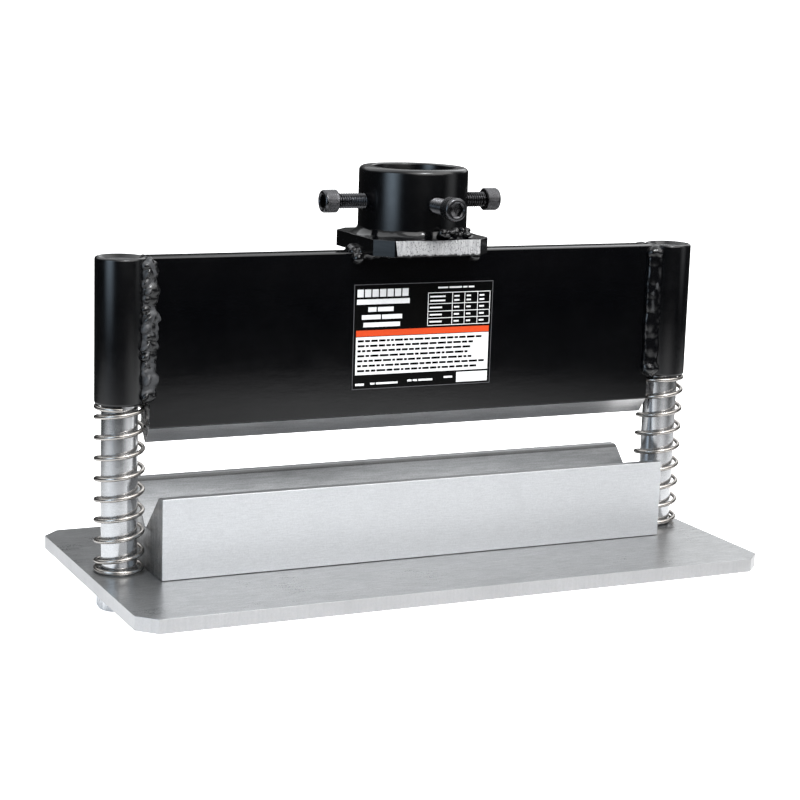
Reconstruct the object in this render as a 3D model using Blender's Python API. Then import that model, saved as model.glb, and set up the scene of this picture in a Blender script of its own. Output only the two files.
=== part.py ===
"""Press brake attachment for a shop press.

A V die and two guide posts stand on a base plate. A bending blade with a guide tube welded to each end
slides down the posts against two springs, and a collar on top of it clamps to the ram of the press.

Metres, +Z up. The origin is on the ground under the middle of the base plate, +X runs along the bend, and
-Y is the side with the label.
"""

import math

import bmesh
import bpy
from mathutils import Matrix

# Fits and resolution
CLEARANCE = 0.0003  # gap between neighbouring pieces
MERGE_DISTANCE = 0.000001
SMOOTH_ANGLE = math.radians(35)
ROUND_SEGMENTS = 32
COLLAR_SEGMENTS = 48
SCREW_SEGMENTS = 20

# Base plate, which stands on the two post nuts
BASE_LENGTH = 0.418
BASE_WIDTH = 0.208
BASE_THICKNESS = 0.0085
BASE_CORNER = 0.011
NUT_ACROSS_FLATS = 0.024
NUT_HEIGHT = 0.0145
SPOT_FACE_RADIUS = 0.0155
SPOT_FACE_DEPTH = 0.0005
UNDERSIDE = NUT_HEIGHT - SPOT_FACE_DEPTH + CLEARANCE
BASE_TOP = UNDERSIDE + BASE_THICKNESS

# Die: heights are above the base plate's top, here and below
DIE_LENGTH = 0.345
DIE_WIDTH = 0.065
DIE_HEIGHT = 0.050
GROOVE_HALF_WIDTH = 0.0255
GROOVE_FLOOR_HALF_WIDTH = 0.001
SHOULDER_RADIUS = 0.006

# Countersunk screws that hold the die from below
DIE_SCREW_X = 0.055, 0.150
DIE_SCREW_LENGTH = 0.023
DIE_SCREW_RADIUS = 0.004
DIE_SCREW_HEAD_RADIUS = 0.008
DIE_SCREW_RECESS = 0.0004
DIE_SCREW_SOCKET = 0.005
DIE_SCREW_SOCKET_DEPTH = 0.003

# Guide posts and springs
POST_X = 0.189
POST_RADIUS = 0.011
POST_TOP = 0.1888
POST_CHAMFER = 0.0015
STUD_RADIUS = 0.008
STUD_END = 0.001  # above the ground
WIRE_RADIUS = 0.0014
SPRING_RADIUS = 0.0140  # to the middle of the wire
SPRING_TURNS = 9.37
SPRING_FLAT_TURNS = 0.25  # turns at each end before the pitch starts to open
SPRING_POINTS_PER_TURN = 16
SPRING_START_LEFT = math.radians(126)
SPRING_START_RIGHT = math.radians(345)

# Blade and guide tubes
TUBE_RADIUS = 0.0152
TUBE_BORE = 0.01135
TUBE_BOTTOM = 0.103
TUBE_TOP = 0.1908
TUBE_ROUNDING = 0.0014
TUBE_MOUTH_RADIUS = 0.0132
TUBE_MOUTH_DEPTH = 0.0022
BLADE_HALF_LENGTH = 0.1732
BLADE_THICKNESS = 0.016
BLADE_TOP = 0.1905
BLADE_BEVEL_TOP = 0.088
BLADE_TIP = 0.078
BLADE_TIP_HALF_WIDTH = 0.0004
BLADE_CHAMFER = 0.0008
TUBE_WELD_REACH = 0.0215  # from the tube's axis, along the blade
TUBE_WELD_ANGLE = math.radians(62)  # how far it climbs round the tube
TUBE_WELD_BULGE = (0.0165, 0.0128)  # along and out from the tube's axis
TUBE_WELD_STEPS = 4

# Flange and collar
FLANGE_LENGTH = 0.078
FLANGE_WIDTH = 0.076
FLANGE_THICKNESS = 0.010
FLANGE_CORNER = 0.010
FLANGE_BOTTOM = BLADE_TOP + CLEARANCE
FLANGE_TOP = FLANGE_BOTTOM + FLANGE_THICKNESS
SEAT_RADIUS = 0.025
SEAT_DEPTH = 0.0005
COLLAR_RADIUS = 0.034
COLLAR_BORE = 0.0255
COLLAR_HEIGHT = 0.0414
COLLAR_ROUNDING = 0.002
COLLAR_MOUTH = 0.001
COLLAR_BOTTOM = FLANGE_TOP + CLEARANCE
COLLAR_WELD_LEG = 0.0036
COLLAR_WELD_HEIGHT = 0.0060
FLANGE_WELD_LEG = 0.0065
FLANGE_WELD_HALF_LENGTH = 0.036

# Clamp screws, 3/8 in with 16 threads to the inch, 1 in long
CLAMP_SCREW_HEIGHT = 0.2215
CLAMP_SCREW_RADIUS = 0.00476
CLAMP_HEAD_RADIUS = 0.0071
CLAMP_HEAD_LENGTH = 0.0095
CLAMP_SHANK_LENGTH = 0.0254
CLAMP_SOCKET = 0.0079
CLAMP_SOCKET_DEPTH = 0.0048
# Each screw's side, in quarter turns from +X, and how far its head stands from the collar's axis
CLAMP_SCREWS = (("right", 0.0495), ("back", 0.0510), ("left", 0.0520), ("front", 0.0520))
CLAMP_CHAMFER = 0.0007

# Label
LABEL_LENGTH = 0.0965
LABEL_HEIGHT = 0.066
LABEL_THICKNESS = 0.0003
LABEL_X = 0.0063
LABEL_Z = 0.1377


def make_material(name, colour, roughness, metallic):
    """A Principled material of one finish."""
    material = bpy.data.materials.new(name)
    material.use_nodes = True
    shader = material.node_tree.nodes["Principled BSDF"]
    shader.inputs["Base Color"].default_value = (*colour, 1.0)
    shader.inputs["Roughness"].default_value = roughness
    shader.inputs["Metallic"].default_value = metallic
    return material


def turned(profile, segments, ring=False):
    """Spin (radius, height) points once round Z. A ring's profile is closed, any other meets the axis."""
    shape = bmesh.new()
    verts = [shape.verts.new((radius, 0.0, height)) for radius, height in profile]
    edges = [shape.edges.new(pair) for pair in zip(verts, verts[1:])]
    if ring:
        edges.append(shape.edges.new((verts[-1], verts[0])))
    bmesh.ops.spin(
        shape,
        geom=verts + edges,
        cent=(0.0, 0.0, 0.0),
        axis=(0.0, 0.0, 1.0),
        angle=math.tau,
        steps=segments,
        use_merge=True,
    )
    bmesh.ops.remove_doubles(shape, verts=shape.verts, dist=MERGE_DISTANCE)
    bmesh.ops.recalc_face_normals(shape, faces=shape.faces)
    return shape


def extruded(points, vector):
    """Extrude a flat outline of 3-D points along a vector, into a closed solid."""
    shape = bmesh.new()
    face = shape.faces.new([shape.verts.new(point) for point in points])
    grown = bmesh.ops.extrude_face_region(shape, geom=[face])["geom"]
    moved = [item for item in grown if isinstance(item, bmesh.types.BMVert)]
    bmesh.ops.translate(shape, verts=moved, vec=vector)
    bmesh.ops.recalc_face_normals(shape, faces=shape.faces)
    return shape


def arc(centre, radius, start, end, steps):
    """Points on an arc in a plane, both ends included."""
    angles = [start + (end - start) * step / steps for step in range(steps + 1)]
    return [(centre[0] + radius * math.cos(a), centre[1] + radius * math.sin(a)) for a in angles]


def octagon(length, width, corner):
    """The outline of a rectangle with its corners cut off at 45 degrees, centred on the origin."""
    x, y = length / 2, width / 2
    quarter = [(x, y - corner), (x - corner, y)]
    points = quarter
    points = points + [(-px, py) for px, py in reversed(quarter)]
    points = points + [(-px, -py) for px, py in quarter]
    return points + [(px, -py) for px, py in reversed(quarter)]


def hexagon(across_flats):
    """The corners of a hexagon centred on the origin."""
    radius = across_flats / math.sqrt(3)
    return [(radius * math.cos(a), radius * math.sin(a)) for a in (math.tau * n / 6 for n in range(6))]


def place(name, shape, location=(0.0, 0.0, 0.0), turn=0.0, parent=None):
    """Make an object from a shape, smooth where it is round."""
    mesh = bpy.data.meshes.new(name)
    shape.to_mesh(mesh)
    shape.free()
    mesh.shade_smooth()
    mesh.set_sharp_from_angle(angle=SMOOTH_ANGLE)
    piece = bpy.data.objects.new(name, mesh)
    piece.location = location
    piece.rotation_euler = (0.0, 0.0, turn)
    piece.parent = parent
    bpy.context.scene.collection.objects.link(piece)
    return piece


def finish(piece, material):
    """Give a piece its material."""
    piece.data.materials.append(material)
    return piece


def cut(piece, cutter, operation="DIFFERENCE"):
    """Cut one object with another, which is then only a guide."""
    cutter.hide_render = True
    cutter.display_type = "WIRE"
    modifier = piece.modifiers.new(cutter.name, "BOOLEAN")
    modifier.operation = operation
    modifier.object = cutter


def joined(shapes):
    """Put several separate shapes in one."""
    whole = bmesh.new()
    for shape in shapes:
        mesh = bpy.data.meshes.new("joined")
        shape.to_mesh(mesh)
        shape.free()
        whole.from_mesh(mesh)
        bpy.data.meshes.remove(mesh)
    return whole


def moved(shape, offset):
    """The same shape, shifted."""
    bmesh.ops.translate(shape, verts=shape.verts, vec=offset)
    return shape


def die_screw_places():
    """Where the die's screws stand, left to right."""
    inner, outer = DIE_SCREW_X
    return [-outer, -inner, inner, outer]


def die_screw_profile(grow=0.0):
    """Half outline of a countersunk screw whose head's face is at height 0, grown by a clearance."""
    head = DIE_SCREW_HEAD_RADIUS + grow
    shank = DIE_SCREW_RADIUS + grow
    tip = DIE_SCREW_LENGTH + grow
    return [(0.0, 0.0), (head, 0.0), (shank, head - shank), (shank, tip), (0.0, tip)]


def base_plate(material):
    """Flat plate with cut corners, stud holes with spot faces under them, and countersinks."""
    outline = [(x, y, UNDERSIDE) for x, y in octagon(BASE_LENGTH, BASE_WIDTH, BASE_CORNER)]
    plate = place("base_plate", extruded(outline, (0.0, 0.0, BASE_THICKNESS)))
    hole = STUD_RADIUS + CLEARANCE
    past = 0.002
    stud_hole = [
        (0.0, UNDERSIDE - past),
        (SPOT_FACE_RADIUS, UNDERSIDE - past),
        (SPOT_FACE_RADIUS, UNDERSIDE + SPOT_FACE_DEPTH),
        (hole, UNDERSIDE + SPOT_FACE_DEPTH),
        (hole, BASE_TOP + past),
        (0.0, BASE_TOP + past),
    ]
    holes = [moved(turned(stud_hole, ROUND_SEGMENTS), (x, 0.0, 0.0)) for x in (-POST_X, POST_X)]
    sunk = die_screw_profile(1.5 * CLEARANCE)
    sink = [(0.0, -past), (sunk[1][0], -past)] + sunk[1:]
    for x in die_screw_places():
        holes.append(moved(turned(sink, SCREW_SEGMENTS), (x, 0.0, UNDERSIDE + DIE_SCREW_RECESS)))
    cut(plate, place("base_hole_cutter", joined(holes)))
    return finish(plate, material)


def v_die(material):
    """Bar with a 90 degree groove along its top, rounded shoulders, and tapped holes from below."""
    y, top = DIE_WIDTH / 2, DIE_HEIGHT
    floor = top - (GROOVE_HALF_WIDTH - GROOVE_FLOOR_HALF_WIDTH)
    tangent = SHOULDER_RADIUS * math.tan(math.pi / 8)
    centre = (GROOVE_HALF_WIDTH + tangent, top - SHOULDER_RADIUS)
    shoulder = arc(centre, SHOULDER_RADIUS, math.radians(90), math.radians(135), 4)
    right = [(y, CLEARANCE), (y, top)] + shoulder + [(GROOVE_FLOOR_HALF_WIDTH, floor)]
    outline = right + [(-py, pz) for py, pz in reversed(right)]
    points = [(-DIE_LENGTH / 2, py, pz) for py, pz in outline]
    die = place("v_die", extruded(points, (DIE_LENGTH, 0.0, 0.0)), (0.0, 0.0, BASE_TOP))
    tip = UNDERSIDE + DIE_SCREW_RECESS + DIE_SCREW_LENGTH + CLEARANCE - BASE_TOP
    radius = DIE_SCREW_RADIUS + CLEARANCE
    tapped = [(0.0, -radius), (radius, -radius), (radius, tip), (0.0, tip + radius / 2)]
    holes = [moved(turned(tapped, SCREW_SEGMENTS), (x, 0.0, BASE_TOP)) for x in die_screw_places()]
    cut(die, place("die_hole_cutter", joined(holes)))
    return finish(die, material)


def die_screws(material):
    """Four countersunk socket screws, heads down."""
    for number, x in enumerate(die_screw_places(), 1):
        location = (x, 0.0, UNDERSIDE + DIE_SCREW_RECESS)
        screw = place(f"die_screw_{number}", turned(die_screw_profile(), SCREW_SEGMENTS), location)
        depth = DIE_SCREW_SOCKET_DEPTH
        socket = extruded([(px, py, -depth) for px, py in hexagon(DIE_SCREW_SOCKET)], (0.0, 0.0, 2 * depth))
        cut(screw, place(f"die_socket_cutter_{number}", socket, location))
        finish(screw, material)


def guide_post(name, x, material):
    """Ground post on a threaded stud that passes down through the base plate and its nut."""
    seat = BASE_TOP + CLEARANCE
    top = BASE_TOP + POST_TOP
    profile = [
        (0.0, STUD_END),
        (STUD_RADIUS - 0.001, STUD_END),
        (STUD_RADIUS, STUD_END + 0.001),
        (STUD_RADIUS, seat),
        (POST_RADIUS, seat),
        (POST_RADIUS, top - POST_CHAMFER),
        (POST_RADIUS - POST_CHAMFER, top),
        (0.0, top),
    ]
    finish(place(name, turned(profile, ROUND_SEGMENTS), (x, 0.0, 0.0)), material)


def post_nut(name, x, material):
    """Hexagon nut under the base plate, its corners chamfered top and bottom."""
    nut = place(name, extruded([(*p, 0.0) for p in hexagon(NUT_ACROSS_FLATS)], (0, 0, NUT_HEIGHT)), (x, 0, 0))
    flat = NUT_ACROSS_FLATS / 2 - 0.0004
    corner = NUT_ACROSS_FLATS / math.sqrt(3) + 0.0004
    drop = (corner - flat) * math.tan(math.radians(30))
    hole = STUD_RADIUS + CLEARANCE
    envelope = [
        (hole, 0.0),
        (flat, 0.0),
        (corner, drop),
        (corner, NUT_HEIGHT - drop),
        (flat, NUT_HEIGHT),
        (hole, NUT_HEIGHT),
    ]
    cut(nut, place(f"{name}_envelope", turned(envelope, ROUND_SEGMENTS, ring=True), (x, 0, 0)), "INTERSECT")
    finish(nut, material)


def spring_rise(turns):
    """Height share gained after so many turns from an end, before the far end's flattening."""
    opened = turns - SPRING_FLAT_TURNS
    if opened <= 0.0:
        return 0.0
    if opened < 1.0:
        return opened**3 - opened**4 / 2
    return opened - 0.5


def spring_points(start):
    """Points along a right-handed coil with flattened ends, from the base plate to the guide tube."""
    low = WIRE_RADIUS + CLEARANCE
    high = TUBE_BOTTOM - WIRE_RADIUS - CLEARANCE
    full = spring_rise(SPRING_TURNS) - 0.5 - SPRING_FLAT_TURNS
    count = round(SPRING_TURNS * SPRING_POINTS_PER_TURN)
    points = []
    for index in range(count + 1):
        turns = SPRING_TURNS * index / count
        share = spring_rise(turns) / full
        if turns > SPRING_TURNS / 2:
            share = 1.0 - spring_rise(SPRING_TURNS - turns) / full
        angle = start + math.tau * turns
        height = low + (high - low) * share
        points.append((SPRING_RADIUS * math.cos(angle), SPRING_RADIUS * math.sin(angle), height))
    return points


def return_spring(name, x, start, material):
    """Round-wire compression spring round a post."""
    curve = bpy.data.curves.new(name, "CURVE")
    curve.dimensions = "3D"
    curve.bevel_depth = WIRE_RADIUS
    curve.bevel_resolution = 1
    curve.use_fill_caps = True
    spline = curve.splines.new("POLY")
    points = spring_points(start)
    spline.points.add(len(points) - 1)
    for point, place_on_coil in zip(spline.points, points):
        point.co = (*place_on_coil, 1.0)
    spring = bpy.data.objects.new(name, curve)
    spring.location = (x, 0.0, BASE_TOP)
    bpy.context.scene.collection.objects.link(spring)
    finish(spring, material)


def press_blade(parent, material):
    """Upright plate whose lower edge is ground to a blunt point."""
    y = BLADE_THICKNESS / 2
    right = [
        (BLADE_TIP_HALF_WIDTH, BLADE_TIP),
        (y, BLADE_BEVEL_TOP),
        (y, BLADE_TOP - BLADE_CHAMFER),
        (y - BLADE_CHAMFER, BLADE_TOP),
    ]
    outline = right + [(-py, pz) for py, pz in reversed(right)]
    points = [(-BLADE_HALF_LENGTH, py, pz) for py, pz in outline]
    shape = extruded(points, (2 * BLADE_HALF_LENGTH, 0.0, 0.0))
    finish(place("press_blade", shape, parent=parent), material)


def guide_tube(name, x, parent, material):
    """Tube that slides on a post, with a rounded rim and a flared mouth."""
    corner = TUBE_RADIUS - TUBE_ROUNDING
    rim = arc((corner, TUBE_TOP - TUBE_ROUNDING), TUBE_ROUNDING, 0.0, math.radians(90), 3)
    foot = arc((corner, TUBE_BOTTOM + TUBE_ROUNDING), TUBE_ROUNDING, math.radians(-90), 0.0, 3)
    mouth = [(TUBE_MOUTH_RADIUS, TUBE_TOP), (TUBE_BORE, TUBE_TOP - TUBE_MOUTH_DEPTH), (TUBE_BORE, TUBE_BOTTOM)]
    shape = turned(foot + rim + mouth, ROUND_SEGMENTS, ring=True)
    finish(place(name, shape, (x, 0.0, 0.0), parent=parent), material)


def tube_weld(name, toward_blade, outward, parent, material):
    """Upright bead in the corner between a guide tube and one face of the blade."""
    radius = TUBE_RADIUS + CLEARANCE
    face = BLADE_THICKNESS / 2 + CLEARANCE
    against_tube = arc((0.0, 0.0), radius, math.asin(face / radius), TUBE_WELD_ANGLE, TUBE_WELD_STEPS)
    outline = [(TUBE_WELD_REACH, face)] + against_tube + [TUBE_WELD_BULGE]
    low, high = TUBE_BOTTOM + TUBE_ROUNDING, TUBE_TOP - TUBE_ROUNDING
    points = [(toward_blade * u, outward * v, low) for u, v in outline]
    shape = extruded(points, (0.0, 0.0, high - low))
    finish(place(name, shape, (-toward_blade * POST_X, 0.0, 0.0), parent=parent), material)


def collar_flange(parent, material):
    """Cut-cornered plate on top of the blade, with a shallow seat for the end of the ram."""
    outline = [(x, y, FLANGE_BOTTOM) for x, y in octagon(FLANGE_LENGTH, FLANGE_WIDTH, FLANGE_CORNER)]
    flange = place("collar_flange", extruded(outline, (0.0, 0.0, FLANGE_THICKNESS)), parent=parent)
    low, high = FLANGE_TOP - SEAT_DEPTH, FLANGE_TOP + SEAT_DEPTH
    seat = turned([(0.0, low), (SEAT_RADIUS, low), (SEAT_RADIUS, high), (0.0, high)], COLLAR_SEGMENTS)
    cut(flange, place("ram_seat_cutter", seat, parent=parent))
    finish(flange, material)


def flange_weld(name, outward, parent, material):
    """Bead in the corner under the flange, along one face of the blade."""
    y = BLADE_THICKNESS / 2 + CLEARANCE
    z = FLANGE_BOTTOM - CLEARANCE
    leg = FLANGE_WELD_LEG
    outline = [(y, z), (y + leg, z), (y + 0.65 * leg, z - 0.65 * leg), (y, z - leg)]
    points = [(-FLANGE_WELD_HALF_LENGTH, outward * py, pz) for py, pz in outline]
    shape = extruded(points, (2 * FLANGE_WELD_HALF_LENGTH, 0.0, 0.0))
    finish(place(name, shape, parent=parent), material)


def ram_collar(parent, material):
    """Ring that takes the ram, with a tapped hole through its wall for each clamp screw."""
    top = COLLAR_BOTTOM + COLLAR_HEIGHT
    centre = (COLLAR_RADIUS - COLLAR_ROUNDING, top - COLLAR_ROUNDING)
    profile = [(COLLAR_BORE, COLLAR_BOTTOM), (COLLAR_RADIUS, COLLAR_BOTTOM)]
    profile += arc(centre, COLLAR_ROUNDING, 0.0, math.radians(90), 3)
    profile += [(COLLAR_BORE + COLLAR_MOUTH, top), (COLLAR_BORE, top - COLLAR_MOUTH)]
    collar = place("ram_collar", turned(profile, COLLAR_SEGMENTS, ring=True), parent=parent)
    radius = CLAMP_SCREW_RADIUS + CLEARANCE
    near, far = COLLAR_BORE - 0.004, COLLAR_RADIUS + 0.004
    holes = []
    for quarter in range(4):
        hole = turned([(0.0, near), (radius, near), (radius, far), (0.0, far)], SCREW_SEGMENTS)
        hole.transform(Matrix.Rotation(quarter * math.pi / 2, 4, "Z") @ Matrix.Rotation(math.pi / 2, 4, "Y"))
        holes.append(moved(hole, (0.0, 0.0, CLAMP_SCREW_HEIGHT)))
    cut(collar, place("collar_hole_cutter", joined(holes), parent=parent))
    finish(collar, material)


def collar_weld(parent, material):
    """Fillet all round the foot of the collar."""
    radius = COLLAR_RADIUS + CLEARANCE
    low = FLANGE_TOP + CLEARANCE
    profile = [
        (radius, low),
        (radius + COLLAR_WELD_LEG, low),
        (radius + 0.75 * COLLAR_WELD_LEG, low + 0.45 * COLLAR_WELD_HEIGHT),
        (radius + 0.35 * COLLAR_WELD_LEG, low + 0.8 * COLLAR_WELD_HEIGHT),
        (radius, low + COLLAR_WELD_HEIGHT),
    ]
    finish(place("collar_weld", turned(profile, COLLAR_SEGMENTS, ring=True), parent=parent), material)


def label_plate(parent, material):
    """Thin label on the front of the blade."""
    x, z = LABEL_LENGTH / 2, LABEL_HEIGHT / 2
    back = -BLADE_THICKNESS / 2 - CLEARANCE
    points = [(-x, back, -z), (x, back, -z), (x, back, z), (-x, back, z)]
    shape = extruded(points, (0.0, -LABEL_THICKNESS, 0.0))
    finish(place("label_plate", shape, (LABEL_X, 0.0, LABEL_Z), parent=parent), material)


def clamp_screw(name, quarter, underhead, parent, material):
    """Socket-head cap screw that points at the collar's axis, its origin on that axis."""
    tip = underhead - CLAMP_SHANK_LENGTH
    end = underhead + CLAMP_HEAD_LENGTH
    shank, head, edge = CLAMP_SCREW_RADIUS, CLAMP_HEAD_RADIUS, CLAMP_CHAMFER
    profile = [
        (0.0, tip),
        (shank - edge, tip),
        (shank, tip + edge),
        (shank, underhead),
        (head, underhead),
        (head, end - edge),
        (head - edge, end),
        (0.0, end),
    ]
    lay = Matrix.Rotation(math.pi / 2, 4, "Y")
    body = turned(profile, SCREW_SEGMENTS)
    body.transform(lay)
    socket_points = [(px, py, end - CLAMP_SOCKET_DEPTH) for px, py in hexagon(CLAMP_SOCKET)]
    socket = extruded(socket_points, (0.0, 0.0, 2 * CLAMP_SOCKET_DEPTH))
    socket.transform(lay)
    location = (0.0, 0.0, CLAMP_SCREW_HEIGHT)
    turn = quarter * math.pi / 2
    screw = place(name, body, location, turn, parent)
    cut(screw, place(f"{name}_socket_cutter", socket, location, turn, parent))
    finish(screw, material)


def build_base():
    """Everything that stays still."""
    ground_steel = make_material("ground_steel", (0.55, 0.56, 0.57), 0.38, 1.0)
    post_steel = make_material("post_steel", (0.72, 0.73, 0.74), 0.15, 1.0)
    spring_steel = make_material("spring_steel", (0.42, 0.39, 0.36), 0.22, 1.0)
    zinc = make_material("zinc_steel", (0.70, 0.71, 0.72), 0.30, 1.0)
    screw_black = make_material("die_screw_black", (0.03, 0.03, 0.03), 0.45, 0.6)
    base_plate(ground_steel)
    v_die(ground_steel)
    die_screws(screw_black)
    for side, x, start in (("left", -POST_X, SPRING_START_LEFT), ("right", POST_X, SPRING_START_RIGHT)):
        guide_post(f"guide_post_{side}", x, post_steel)
        post_nut(f"post_nut_{side}", x, zinc)
        return_spring(f"return_spring_{side}", x, start, spring_steel)


def build_beam():
    """Everything that slides down the posts, under one empty level with the base plate's top."""
    black_paint = make_material("black_paint", (0.012, 0.013, 0.016), 0.18, 0.0)
    label_print = make_material("label_print", (0.10, 0.10, 0.10), 0.40, 0.0)
    screw_black = make_material("clamp_screw_black", (0.02, 0.02, 0.022), 0.35, 0.6)
    beam = bpy.data.objects.new("beam", None)
    beam.location = (0.0, 0.0, BASE_TOP)
    bpy.context.scene.collection.objects.link(beam)
    press_blade(beam, black_paint)
    for side, toward_blade in (("left", 1), ("right", -1)):
        guide_tube(f"guide_tube_{side}", -toward_blade * POST_X, beam, black_paint)
        tube_weld(f"tube_weld_{side}_front", toward_blade, -1, beam, black_paint)
        tube_weld(f"tube_weld_{side}_back", toward_blade, 1, beam, black_paint)
    collar_flange(beam, black_paint)
    flange_weld("flange_weld_front", -1, beam, black_paint)
    flange_weld("flange_weld_back", 1, beam, black_paint)
    ram_collar(beam, black_paint)
    collar_weld(beam, black_paint)
    label_plate(beam, label_print)
    for quarter, (side, underhead) in enumerate(CLAMP_SCREWS):
        clamp_screw(f"clamp_screw_{side}", quarter, underhead, beam, screw_black)


def main():
    """Clear the scene and build the brake."""
    for item in list(bpy.data.objects):
        bpy.data.objects.remove(item)
    build_base()
    build_beam()


main()
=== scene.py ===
import math
import random

import bmesh
import bpy
from mathutils import Matrix, Vector, noise


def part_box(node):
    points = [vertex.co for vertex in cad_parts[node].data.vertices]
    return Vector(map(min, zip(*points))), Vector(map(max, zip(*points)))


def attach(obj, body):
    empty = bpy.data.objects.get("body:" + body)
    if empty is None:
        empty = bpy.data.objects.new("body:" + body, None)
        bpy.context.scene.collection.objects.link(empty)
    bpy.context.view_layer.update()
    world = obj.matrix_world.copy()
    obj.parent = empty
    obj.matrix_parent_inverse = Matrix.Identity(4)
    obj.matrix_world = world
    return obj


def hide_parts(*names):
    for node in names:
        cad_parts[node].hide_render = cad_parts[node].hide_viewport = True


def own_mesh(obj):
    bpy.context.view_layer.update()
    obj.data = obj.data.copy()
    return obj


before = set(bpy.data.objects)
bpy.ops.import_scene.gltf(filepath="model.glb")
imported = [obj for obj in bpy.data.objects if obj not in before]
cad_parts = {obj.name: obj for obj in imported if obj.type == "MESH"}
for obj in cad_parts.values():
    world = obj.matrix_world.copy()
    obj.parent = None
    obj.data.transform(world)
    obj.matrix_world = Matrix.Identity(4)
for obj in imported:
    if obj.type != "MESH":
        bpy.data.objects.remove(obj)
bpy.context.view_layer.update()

# Looks of the press brake attachment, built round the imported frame.
# Metres, +Z up, in the frame's own axes: +X along the bend, -Y towards the label.
# Boxes come from the frame. The sizes below are those that a box doesn't say.

BODY_BASE = "base"
BODY_BEAM = "beam"
SIDES = (("left", -1), ("right", 1))

base_low, base_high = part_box("base_plate")
die_low, die_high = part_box("v_die")
blade_low, blade_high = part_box("press_blade")
flange_low, flange_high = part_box("collar_flange")
collar_low, collar_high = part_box("ram_collar")
label_low, label_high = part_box("label_plate")
BASE_TOP = base_high.z

# Base plate and what hangs under it
BASE_CORNER = 0.011
STUD_RADIUS = 0.008
SPOT_FACE_RADIUS = 0.0155
SPOT_FACE_DEPTH = 0.0005
DIE_SCREW_HEAD = 0.008
DIE_SCREW_SHANK = 0.004
DIE_SCREW_SOCKET = 0.005
DIE_SCREW_SOCKET_DEPTH = 0.003
NUT_CHAMFER_ANGLE = math.radians(30)
STUD_PITCH = 0.002
THREAD_DEPTH = 0.54  # of a metric or inch thread, as a share of its pitch
GAP = 0.0003
PAST = 0.002  # how far a cutter reaches past what it cuts

# Die
GROOVE_HALF_WIDTH = 0.0255
GROOVE_FLOOR_HALF_WIDTH = 0.001
SHOULDER_RADIUS = 0.006

# Posts, springs and tubes
POST_CHAMFER = 0.0015
WIRE_RADIUS = 0.0014
SPRING_RADIUS = 0.0140
SPRING_TURNS = 9.37
SPRING_FLAT_TURNS = 0.25
SPRING_POINTS_PER_TURN = 48
SPRING_STARTS = {"left": math.radians(126), "right": math.radians(345)}
TUBE_BORE = 0.01135
TUBE_ROUNDING = 0.0016
TUBE_MOUTH_RADIUS = 0.0132
TUBE_MOUTH_DEPTH = 0.0022

# Blade, flange and collar
BEVEL_HEIGHT = 0.010
BLADE_TIP_HALF_WIDTH = 0.0004
BLADE_ROUNDING = 0.0008
PAINT_EDGE_RADIUS = 0.0012  # rounding of the painted face where the ground bevel starts
FLANGE_CORNER = 0.010
SEAT_RADIUS = 0.025
SEAT_DEPTH = 0.0005
COLLAR_BORE = 0.0255
COLLAR_ROUNDING = 0.003
COLLAR_MOUTH = 0.001
COLLAR_FILLET_SPREAD = 1.55
CUT_SLANT = 0.0015  # lean of the line where the flange's bare front starts

# Weld beads
WELD_VOXEL = 0.0005
FINE_WELD_VOXEL = 0.0004
TUBE_BEAD_START = 0.0058
TUBE_BEAD_STOP = 0.005
FLANGE_BEAD_INSET = 0.002

# Clamp screws, 3/8 in with 16 threads to the inch
CLAMP_SHANK = 0.00476
CLAMP_PITCH = 0.0254 / 16
CLAMP_HEAD_LENGTH = 0.0095
CLAMP_SOCKET = 0.0079
CLAMP_SOCKET_DEPTH = 0.0048
KNURL_RIDGES = 54
KNURL_DEPTH = 0.00012


# ---------------------------------------------------------------- shapes


def arc(centre, radius, start, end, steps):
    """Points on an arc in a plane, both ends included, angles in degrees."""
    turns = [math.radians(start + (end - start) * step / steps) for step in range(steps + 1)]
    return [(centre[0] + radius * math.cos(a), centre[1] + radius * math.sin(a)) for a in turns]


def octagon(low, high, corner):
    """A box's outline in X and Y with its corners cut off at 45 degrees."""
    right, left, front, back = high.x, low.x, low.y, high.y
    return [
        (right, back - corner), (right - corner, back),
        (left + corner, back), (left, back - corner),
        (left, front + corner), (left + corner, front),
        (right - corner, front), (right, front + corner),
    ]


def extruded(points, vector):
    """A flat outline of 3-D points pushed along a vector, as a closed shape."""
    shape = bmesh.new()
    face = shape.faces.new([shape.verts.new(point) for point in points])
    grown = bmesh.ops.extrude_face_region(shape, geom=[face])["geom"]
    moved = [item for item in grown if isinstance(item, bmesh.types.BMVert)]
    bmesh.ops.translate(shape, verts=moved, vec=vector)
    bmesh.ops.recalc_face_normals(shape, faces=shape.faces)
    return shape


def polar(radius, angle, height):
    """A point at a distance and an angle from Z."""
    return (radius * math.cos(angle), radius * math.sin(angle), height)


def round_ring(radius, height, count):
    """A circle of points round Z."""
    return [polar(radius, math.tau * step / count, height) for step in range(count)]


def round_rings(profile, count):
    """A circle of points round Z for each (radius, height)."""
    return [round_ring(radius, height, count) for radius, height in profile]


def hexagon_ring(across_flats, height, count):
    """Points round a hexagon, at the same angles as a circle's, so that the two can be joined."""
    points = []
    for step in range(count):
        a = math.tau * step / count
        radius = across_flats / 2 / math.cos((a + math.pi / 6) % (math.pi / 3) - math.pi / 6)
        points.append(polar(radius, a, height))
    return points


def ring_stack(rings, closed=False):
    """Rings of equally many points joined in order: into a loop, or into a solid with flat ends."""
    shape = bmesh.new()
    rows = [[shape.verts.new(point) for point in ring] for ring in rings]
    pairs = list(zip(rows, rows[1:]))
    if closed:
        pairs.append((rows[-1], rows[0]))
    for low, high in pairs:
        for step in range(len(low)):
            after = (step + 1) % len(low)
            shape.faces.new((low[step], low[after], high[after], high[step]))
    if not closed:
        shape.faces.new(list(reversed(rows[0])))
        shape.faces.new(rows[-1])
    bmesh.ops.recalc_face_normals(shape, faces=shape.faces)
    return shape


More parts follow.
